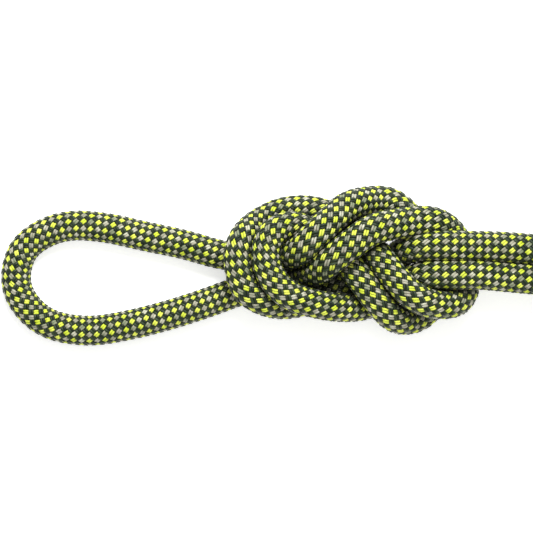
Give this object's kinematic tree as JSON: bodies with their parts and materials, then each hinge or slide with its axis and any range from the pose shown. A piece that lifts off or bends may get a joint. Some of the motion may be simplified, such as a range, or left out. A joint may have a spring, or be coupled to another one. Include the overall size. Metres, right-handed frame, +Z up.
{
  "type": "dynamic climbing rope",
  "caption": "Kernmantle dynamic rope tied with a figure-eight on a bight, its eye and knot laid out flat, the short tail free and the rest wound in a round coil held by webbing ties.",
  "frame": {"origin": "centre of the underside of the whole rope as it lies, on the surface it rests on", "axes": "+X from the bight eye towards the coil, +Y across the rope to the side the coil lies on, +Z up from the surface"},
  "size_m": [0.4801, 0.3022, 0.0735],
  "materials": {
    "sheath": "braided polyamide yarns, dark slate with neon yellow-green and grey-beige picks, slight sheen",
    "core": "undyed twisted polyamide strands",
    "tracer": "dyed marker yarn",
    "end_sleeve": "shrunk polymer tube, satin black, no print",
    "fused_end": "melted polyamide, dark, slightly glossy",
    "webbing": "woven black polyamide webbing"
  },
  "bodies": {
    "root": {"coil_tie_1": "webbing", "coil_tie_2": "webbing", "coil_tie_3": "webbing", "core_far_end": "core", "core_strand_1": "core", "core_strand_2": "core", "core_strand_3": "core", "core_strand_4": "core", "core_strand_5": "core", "core_strand_6": "core", "core_strand_centre": "core", "end_cap_far": "fused_end", "end_cap_tail": "fused_end", "end_sleeve_far": "end_sleeve", "end_sleeve_tail": "end_sleeve", "rope_coil": "sheath", "sheath_bight": "sheath", "sheath_far_end": "sheath", "sheath_knot_first_pass": "sheath", "sheath_knot_second_pass": "sheath", "sheath_standing": "sheath", "sheath_tail": "sheath", "tracer_yarn": "tracer"}
  },
  "joints": []
}
